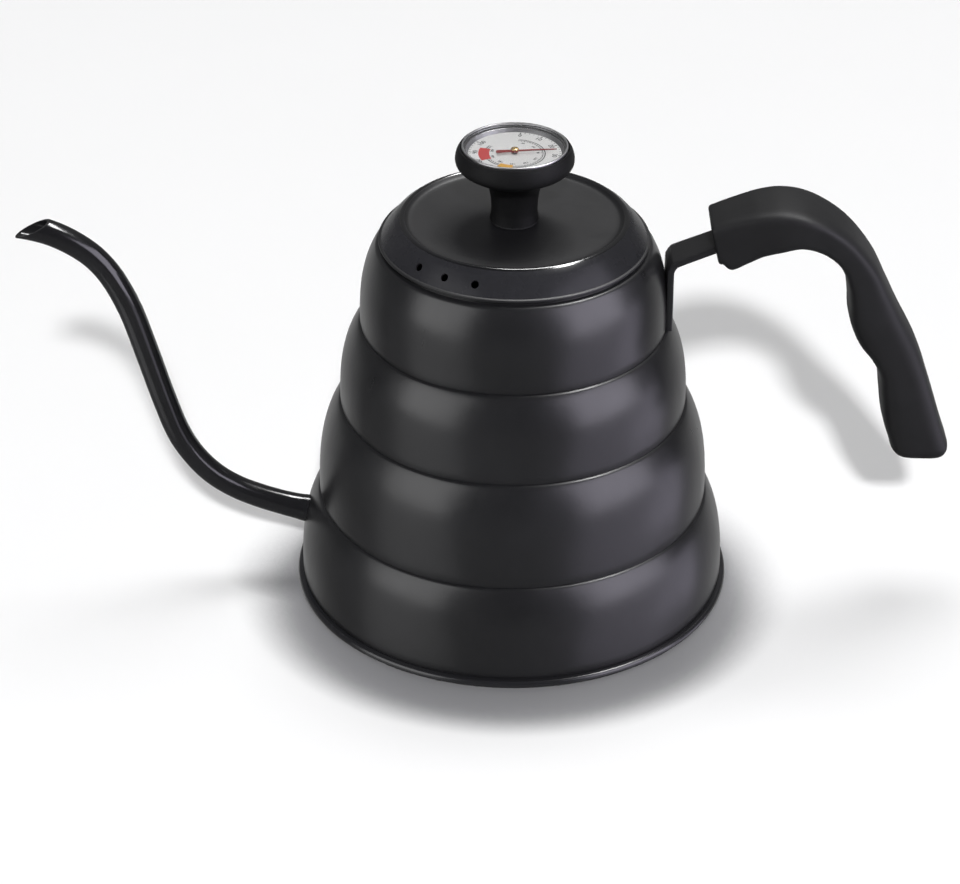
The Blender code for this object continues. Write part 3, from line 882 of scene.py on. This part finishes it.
def thread_profile(outer, root, low, high, pitch):
    """Ridges and roots from low to high, each one pitch tall."""
    points = []
    count = max(int((high - low) / pitch), 1)
    step = (high - low) / count
    for i in range(count):
        z = low + i * step
        points += [(root, z), (outer, z + step * 0.4), (outer, z + step * 0.55)]
    points.append((root, high))
    return points


# ---------------------------------------------------------------- lid


LID_RIM = (44.3, 127.9)
LID_RING = (37.0, 136.3)
LID_TOP_Z = 134.5
LID_BULGE = 0.25
LID_RIDGE_ZONE = (35.9, 37.9)
LID_EDGE_R = 43.4
VENT_R = 1.25
VENT_ANGLES = (222.0, 236.9, 251.8)
VENT_OUT, VENT_UP = 0.726, 0.688


def lid_band_point(s):
    """A point on the lid's bulging side band, from the ring (0) to the rim (1)."""
    (r0, z0), (r1, z1) = (LID_RING[0] + 0.9, LID_RING[1] - 0.6), LID_RIM
    length = math.hypot(r1 - r0, z1 - z0)
    bulge = 4 * LID_BULGE * s * (1 - s)
    r = r0 + (r1 - r0) * s + bulge * (z0 - z1) / length
    return (r, z0 + (z1 - z0) * s + bulge * (r1 - r0) / length)


def lid_cover():
    ring_r, ring_z = LID_RING
    top = [(4.4, LID_TOP_Z), (ring_r - 3.4, LID_TOP_Z + 0.3), (ring_r - 2.2, LID_TOP_Z + 0.5)]
    top += [(ring_r - 0.5, ring_z + 0.3), lid_band_point(2 / 16)]
    profile = rounded(top, [0, 1.2, 0.8, 1.4, 0], 8, closed=False)
    profile += [lid_band_point(i / 16) for i in range(3, 15)]
    r, z = LID_RIM
    lip = [lid_band_point(14 / 16), (r - 0.42, z + 1.0), (r + 0.12, z + 0.84)]
    lip += [(r + 0.12, z + 0.2), (r - 0.1, z)]
    profile += rounded(lip, [0, 0.15, 0.25, 0.15, 0], closed=False)
    mesh = lathe("lid_cover_fine", profile, 224, closed=False)
    looks = (LID_TOP, LID_RIDGE, LID_FLANK_PAINTED_LIGHT, INSIDE_STEEL)
    ridge_start, ridge_end = LID_RIDGE_ZONE
    for face in mesh.polygons:
        radius = face_radius(face)
        if ridge_start < radius < ridge_end:
            face.material_index = looks.index(LID_RIDGE)
        elif ridge_end <= radius < LID_EDGE_R:
            face.material_index = looks.index(LID_FLANK_PAINTED_LIGHT)
    cover = piece("lid_cover_fine", mesh, looks, "lid", "black_lacquer", "lid_cover")
    walled(cover, WALL, looks.index(INSIDE_STEEL))
    r, z = lid_band_point(0.5)
    for angle in VENT_ANGLES:
        turn = math.radians(angle)
        way = Vector((VENT_OUT * math.cos(turn), VENT_OUT * math.sin(turn), VENT_UP))
        middle = Vector((r * math.cos(turn), r * math.sin(turn), z))
        boolean(cover, rod("vent", VENT_R, middle, way, 6.0))
        boolean(cover, rod("vent_edge", VENT_R - 0.1, middle + way * 0.3, way, 1.2, flare=0.65))


def lid_skirt():
    profile = [(42.9, 127.9), (41.0, 127.9), (40.3, 127.2), (40.3, 125.0), (40.45, 124.0), (40.3, 123.0)]
    profile += [(40.3, 116.8), (39.7, 115.8)]
    outline = rounded(profile, [0, 0.5, 0.5, 0.6, 0.8, 0.6, 0.6, 0], closed=False)
    skirt = turned("lid_skirt", outline, 192, INSIDE_STEEL, "lid", "stainless_steel", closed=False)
    walled(skirt, 0.6, 0)


def knob():
    low, high = box_of("lid_knob")
    rim, bottom = high[0], low[2]
    outer = smooth_through(
        (
            (17.9, 161.0), (rim - 0.55, 159.6), (rim, 157.2), (rim - 0.45, 155.2), (rim - 2.2, 153.6),
            (13.4, 151.7), (10.2, 149.7), (8.6, 147.2), (7.8, 143.5), (7.5, 139.5), (7.7, 137.2),
        ),
        8,
    )
    inner = [
        (8.0, bottom), (4.3, bottom), (4.3, 149.0), (6.7, 149.0), (6.7, 154.4),
        (11.4, 154.4), (11.4, 156.8), (17.5, 156.8), (17.5, 160.8), (17.6, 161.0),
    ]
    mesh = lathe("knob_fine", outer + inner, 160)
    piece("knob_fine", mesh, (KNOB_BAKELITE,), "lid", "black_bakelite", "lid_knob", sharp=40)


def washer_like(node, bore, material, slot, soften=0.12, segments=96):
    """A plain ring over a CAD node that is one, with softened edges."""
    low, high = box_of(node)
    profile = [(bore, high[2]), (high[0], high[2]), (high[0], low[2]), (bore, low[2])]
    return turned(node, rounded(profile, soften), segments, material, "lid", slot)


def knob_fastening():
    low, high = box_of("knob_bolt")
    bore, shank, head = 2.4, 4.0, high[0]
    profile = [(bore, high[2]), (head, high[2]), (head, 149.3), (shank, 149.3), (shank, 140.0)]
    outline = rounded(profile, [0.2, 0.5, 0.3, 0.2, 0.0], closed=False)
    thread = thread_profile(shank, shank - 0.45, low[2] + 0.8, 139.5, 1.0)
    outline += thread[::-1]
    outline += [(shank - 0.7, low[2]), (bore, low[2])]
    turned("knob_bolt", outline, 96, ZINC, "lid", "zinc_steel")
    washer_like("knob_seal", 4.3, SILICONE, "silicone")
    washer_like("knob_washer", 4.3, BRIGHT_STEEL, "stainless_steel")
    low, high = box_of("knob_nut")
    work = bmesh.new()
    corner, tall = high[0] * MM, (high[2] - low[2]) * MM
    bmesh.ops.create_cone(work, cap_ends=True, segments=6, radius1=corner, radius2=corner, depth=tall)
    bmesh.ops.translate(work, verts=work.verts, vec=(0, 0, (low[2] + high[2]) / 2 * MM))
    mesh = finished(work, "knob_nut_fine")
    nut = piece("knob_nut_fine", mesh, (ZINC,), "lid", "zinc_steel", "knob_nut", sharp=20)
    flat = high[0] * math.cos(math.pi / 6)
    cone = [(0.0, high[2]), (flat, high[2]), (high[0] + 0.2, high[2] - 0.7)]
    cone += [(high[0] + 0.2, low[2] + 0.7), (flat, low[2]), (0.0, low[2])]
    boolean(nut, helper("chamfer", lathe("chamfer", cone, 96, closed=False)), "INTERSECT")
    boolean(nut, rod("nut_bore", 4.3, (0, 0, 130.0), (0, 0, 1), 12.0))


# ---------------------------------------------------------------- thermometer


DIAL_Z = 158.2
DIAL_START = -172.0
DIAL_PER_DEGREE = 2.96
DIAL_STOP = 124.0
POINTER_Z = 159.05
POINTER_REST = 6.0
POINTER_TIP = 13.5
POINTER_TAIL = 6.1
PRINT = 0.02


def thermometer_shell():
    case = [
        (16.35, 159.4), (16.35, 157.1), (11.0, 157.1), (11.0, 154.9), (2.3, 154.9), (2.3, 155.3),
        (10.6, 155.3), (10.6, 157.5), (15.95, 157.5), (15.95, 159.4),
    ]
    profile = rounded(case, 0.2)
    case_piece = turned("thermometer_case", profile, 128, BRIGHT_STEEL, "lid", "stainless_steel")
    bezel = [(16.5, 161.7), (17.2, 161.7), (17.2, 158.2), (16.9, 158.2), (16.9, 161.4), (16.5, 161.4)]
    profile = rounded(bezel, [0.12, 0.3, 0.1, 0.1, 0.1, 0.1], 5)
    bezel_piece = turned("dial_bezel", profile, 160, BEZEL_STEEL, "lid", "stainless_steel")
    gasket = washer_like("lens_gasket", 15.95, SILICONE, "silicone", 0.1, 128)
    low, high = box_of("dial_lens")
    radius = high[0]
    top = [(radius * i / 12, high[2] + 0.25 * (1 - (i / 12) ** 2)) for i in range(12)]
    profile = [*top, (radius, high[2] + 0.02), (radius, low[2]), (0.0, low[2])]
    lens = turned("dial_lens", profile, 160, GLASS, "lid", "clear_glass", closed=False)
    spacer = [(15.9, high[2] - 1.65), (15.9, DIAL_Z + 0.05)]
    spacer += [(14.95, DIAL_Z + 0.05), (15.05, DIAL_Z + 0.25)]
    mesh = lathe("dial_spacer_fine", rounded(spacer, 0.08), 128)
    ring = piece("dial_spacer_fine", mesh, (RING_GREY,), "lid", "stainless_steel")
    # Light reaches the deep dial directly, and the lens doesn't let it in a second time.
    for shade in (case_piece, bezel_piece, gasket, lens, ring):
        shade.visible_shadow = False
    lens.visible_diffuse = False
    lens.visible_glossy = False
    plate = [(0.8, DIAL_Z - 0.4), (0.8, DIAL_Z), (15.6, DIAL_Z), (15.6, DIAL_Z - 0.4)]
    turned("dial_plate", rounded(plate, 0.08), 128, DIAL_WHITE, "lid", "dial_white")


def clock(angle, radius):
    """A place on the dial: angle clockwise from its own 12 o'clock, which faces -Y."""
    turn = math.radians(angle)
    return (-radius * math.sin(turn), -radius * math.cos(turn))


def celsius_angle(value):
    return DIAL_START + DIAL_PER_DEGREE * value


def fahrenheit_angle(value):
    return celsius_angle((value - 32) / 1.8)


def sector(low_r, high_r, start, stop, height=PRINT):
    """Vertices and faces of a flat band of the dial between two clock angles."""
    steps = max(int(abs(stop - start) / 2.0), 1)
    points, faces = [], []
    for i in range(steps + 1):
        angle = start + (stop - start) * i / steps
        for radius in (low_r, high_r):
            x, y = clock(angle, radius)
            points += [(x, y, DIAL_Z), (x, y, DIAL_Z + height)]
    for i in range(steps):
        a, b = 4 * i, 4 * i + 4
        faces += [(a + 1, a + 3, b + 3, b + 1), (a, b, b + 2, a + 2)]
        faces += [(a, a + 1, b + 1, b), (a + 2, b + 2, b + 3, a + 3)]
    end = 4 * steps
    faces += [(0, 2, 3, 1), (end, end + 1, end + 3, end + 2)]
    return points, faces


def printed(name, shapes, material):
    """One piece of print from several flat shapes."""
    places, faces = [], []
    for points, quads in shapes:
        shift = len(places)
        places += points
        faces += [tuple(index + shift for index in quad) for quad in quads]
    piece(name, solid_mesh(name, places, faces), (material,), "lid", "dial_white")


def dial_print():
    ticks = []
    for value in range(0, 101, 2):
        angle = celsius_angle(value)
        long = value % 10 == 0
        half = 0.9 if long else 0.5
        ticks.append(sector(13.9 if long else 14.3, 14.8, angle - half, angle + half))
    ticks.append(sector(9.5, 9.85, DIAL_START, DIAL_STOP))
    ticks.append(sector(8.9, 9.1, DIAL_START, DIAL_STOP))
    for value in range(32, 213, 4):
        angle = fahrenheit_angle(value)
        ticks.append(sector(8.3 if value % 20 == 0 else 8.55, 8.9, angle - 0.6, angle + 0.6))
    printed("dial_ticks", ticks, BLACK_INK)
    printed("dial_yellow_band", [sector(8.2, 11.7, 5.0, 33.0, 2 * PRINT)], YELLOW_INK)
    printed("dial_red_band", [sector(8.2, 11.7, 65.0, 110.0, 2 * PRINT)], RED_INK)
    numbers = [(str(v), celsius_angle(v), 12.0, 2.3) for v in range(0, 101, 10)]
    numbers += [(str(v), fahrenheit_angle(v), 7.0, 1.25) for v in range(40, 201, 20)]
    work = bmesh.new()
    for text, angle, radius, size in numbers:
        add_text(work, text, angle, radius, size)
    piece("dial_numbers", finished(work, "dial_numbers"), (BLACK_INK,), "lid", "dial_white")


def add_text(work, text, angle, radius, size):
    """Adds a number to the dial, its top turned outwards."""
    curve = bpy.data.curves.new("text", "FONT")
    curve.body = text
    curve.size = size * MM
    curve.align_x = "CENTER"
    curve.extrude = PRINT / 2 * MM
    curve.offset = size * 0.018 * MM
    curve.resolution_u = 3
    obj = put("text", curve)
    bpy.context.view_layer.update()
    graph = bpy.context.evaluated_depsgraph_get()
    mesh = bpy.data.meshes.new_from_object(obj.evaluated_get(graph))
    x, y = clock(angle, radius)
    turn = Matrix.Rotation(math.pi - math.radians(angle), 4, "Z")
    place = Matrix.Translation((x * MM, y * MM, (DIAL_Z + PRINT / 2) * MM))
    mesh.transform(place @ turn)
    work.from_mesh(mesh)
    bpy.data.objects.remove(obj, do_unlink=True)
    bpy.data.meshes.remove(mesh)
    bpy.data.curves.remove(curve)


def stem():
    low, high = box_of("stem_tube")
    profile = [(1.65, high[2]), (2.0, high[2]), (2.0, low[2]), (1.65, low[2])]
    turned("stem_tube", rounded(profile, 0.1), 64, PROBE_STEEL, "lid", "stainless_steel")
    low, high = box_of("stem_plug")
    step = low[2] + 1.1
    profile = [(0.0, high[2]), (1.35, high[2]), (1.35, step), (2.0, step)]
    profile += [(1.95, low[2] + 0.7), (1.2, low[2] + 0.1)]
    profile = rounded(profile, 0.3, closed=False) + [(0.0, low[2])]
    turned("stem_plug", profile, 64, PROBE_STEEL, "lid", "stainless_steel", closed=False)


def inner_nodes():
    """The sealed inner pieces keep their CAD shape and get better materials."""
    looks = {
        "spindle_bush_upper": BRASS,
        "spindle_bush_lower": BRASS,
        "bimetal_coil": BIMETAL,
        "spindle": PROBE_STEEL,
    }
    for node, look in looks.items():
        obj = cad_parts[node]
        for slot in obj.material_slots:
            slot.material = look


def pointer():
    outline = [
        (POINTER_TIP, 0.1), (6.0, 0.25), (1.25, 0.35), (0.9, 0.95), (0.0, 1.15), (-0.9, 0.95),
        (-1.4, 0.55), (-POINTER_TAIL + 0.6, 0.8), (-POINTER_TAIL, 0.45),
    ]
    sides = rounded([*outline, *((x, -y) for x, y in reversed(outline))], 0.2, 3)
    cos, sin = math.cos(math.radians(POINTER_REST)), math.sin(math.radians(POINTER_REST))
    low = (POINTER_Z - 0.12) * MM
    work = bmesh.new()
    flat = [((x * cos - y * sin) * MM, (x * sin + y * cos) * MM, low) for x, y in sides]
    face = work.faces.new([work.verts.new(point) for point in flat])
    made = bmesh.ops.extrude_face_region(work, geom=[face])
    moved = [item for item in made["geom"] if isinstance(item, bmesh.types.BMVert)]
    bmesh.ops.translate(work, verts=moved, vec=(0, 0, 0.24 * MM))
    bmesh.ops.recalc_face_normals(work, faces=work.faces)
    mesh = finished(work, "pointer_fine")
    blade = piece("pointer_fine", mesh, (RED_PAINT,), "pointer", "pointer_red", "pointer")
    boolean(blade, rod("eye", 0.7, (0, 0, POINTER_Z), (0, 0, 1), 2.0, 32))
    hub = [(0.0, 0.95), (0.9, 0.95), (1.3, 0.75), (1.3, 0.42), (0.0, 0.42)]
    hub = [(r, z + POINTER_Z) for r, z in hub]
    hub = rounded(hub, [0, 0.3, 0.2, 0.1, 0], closed=False)
    turned("pointer_hub", hub, 48, BRASS, "pointer", "brass", closed=False)


# ---------------------------------------------------------------- stage


def camera():
    cp, sp = math.cos(CAMERA_PITCH), math.sin(CAMERA_PITCH)
    cy, sy = math.cos(CAMERA_YAW), math.sin(CAMERA_YAW)
    forward = Vector((sy * cp, cy * cp, -sp))
    right = Vector((cy, -sy, 0.0))
    up = right.cross(forward)
    cr, sr = math.cos(CAMERA_ROLL), math.sin(CAMERA_ROLL)
    rolled = cr * right + sr * up
    above = -sr * right + cr * up
    data = bpy.data.cameras.new("camera")
    data.lens = CAMERA_LENS
    data.sensor_width = 36.0
    data.sensor_fit = "HORIZONTAL"
    data.clip_start = 0.01
    obj = put("camera", data)
    turn = Matrix((rolled, above, -forward)).transposed().to_4x4()
    obj.matrix_world = Matrix.Translation(CAMERA_PLACE) @ turn
    bpy.context.scene.camera = obj


def soft_box(name, seen, azimuth, elevation, distance, size, radiance, colour=WHITE):
    """A rectangular light that faces the kettle; azimuth 0 is the camera's side.

    It either lights matt surfaces or is seen in glossy ones.
    """
    turn, rise = math.radians(azimuth), math.radians(elevation)
    level = math.cos(rise)
    way = Vector((math.sin(turn) * level, -math.cos(turn) * level, math.sin(rise)))
    data = bpy.data.lights.new(name, "AREA")
    data.shape = "RECTANGLE"
    data.size, data.size_y = size
    data.energy = radiance * math.pi * size[0] * size[1]
    data.color = colour
    obj = put(name, data)
    obj.location = Vector(STAGE_MIDDLE) + way * distance
    obj.rotation_euler = way.to_track_quat("Z", "Y").to_euler()
    obj.visible_glossy = seen == "glossy"
    obj.visible_diffuse = seen == "matt"
    obj.visible_transmission = False


def ramp(tree, value, low, high, to_low, to_high):
    node = tree.nodes.new("ShaderNodeMapRange")
    node.interpolation_type = "SMOOTHSTEP"
    tree.links.new(value, node.inputs["Value"])
    set_range(node, low, high, to_low, to_high)
    return node


def studio_world():
    """Pale paper behind and below, darkness above the camera."""
    world = bpy.data.worlds.new("studio")
    world.use_nodes = True
    tree = world.node_tree
    place = tree.nodes.new("ShaderNodeTexCoord")
    split = tree.nodes.new("ShaderNodeSeparateXYZ")
    tree.links.new(place.outputs["Generated"], split.inputs["Vector"])
    above = ramp(tree, split.outputs["Y"], 0.0, 0.7, ABOVE_FRONT, ABOVE_BACK)
    below = ramp(tree, split.outputs["Y"], 0.3, 0.85, BELOW_FRONT, BELOW_BACK)
    both = ramp(tree, split.outputs["Z"], -0.15, 0.05, 0.0, 0.0)
    tree.links.new(below.outputs["Result"], both.inputs["To Min"])
    tree.links.new(above.outputs["Result"], both.inputs["To Max"])
    tree.nodes["Background"].inputs["Color"].default_value = (1.0, 1.0, 1.0, 1.0)
    tree.links.new(both.outputs["Result"], tree.nodes["Background"].inputs["Strength"])
    bpy.context.scene.world = world


def stage():
    work = bmesh.new()
    bmesh.ops.create_grid(work, x_segments=8, y_segments=8, size=4.0)
    mesh = finished(work, "floor")
    mesh.materials.append(floor_look())
    floor = put("floor", mesh)
    floor.visible_glossy = False
    floor.visible_shadow = False
    soft_box("key", "matt", 3.0, 38.0, 6.5, (0.42, 0.36), 850.0)
    soft_box("back_soft", "matt", 176.0, 69.0, 5.0, (3.4, 2.0), 5.9)
    soft_box("back_light", "glossy", 164.0, 62.0, 5.0, (1.9, 0.9), 23.0)
    soft_box("right_top", "glossy", 112.0, 66.0, 5.0, (2.8, 0.8), 32.0)
    soft_box("left_box", "glossy", -57.0, 20.0, 1.3, (1.0, 1.15), 2.7)
    soft_box("right_box", "glossy", 62.0, 20.0, 1.3, (1.15, 1.15), 4.4, (0.9, 0.86, 1.0))
    soft_box("left_low", "glossy", -57.0, -24.0, 1.3, (1.0, 0.75), 0.6)
    soft_box("right_low", "glossy", 60.0, -24.0, 1.3, (1.1, 0.75), 1.05, VIOLET)
    soft_box("right_end", "glossy", 96.0, -16.0, 1.3, (0.6, 0.7), 1.6, VIOLET)
    studio_world()
    bpy.context.scene.view_settings.view_transform = "Standard"


camera()
body_shell()
base_plate()
spout()
bracket()
grip()
grip_screws()
lid_cover()
lid_skirt()
knob()
knob_fastening()
thermometer_shell()
dial_print()
stem()
inner_nodes()
pointer()
stage()
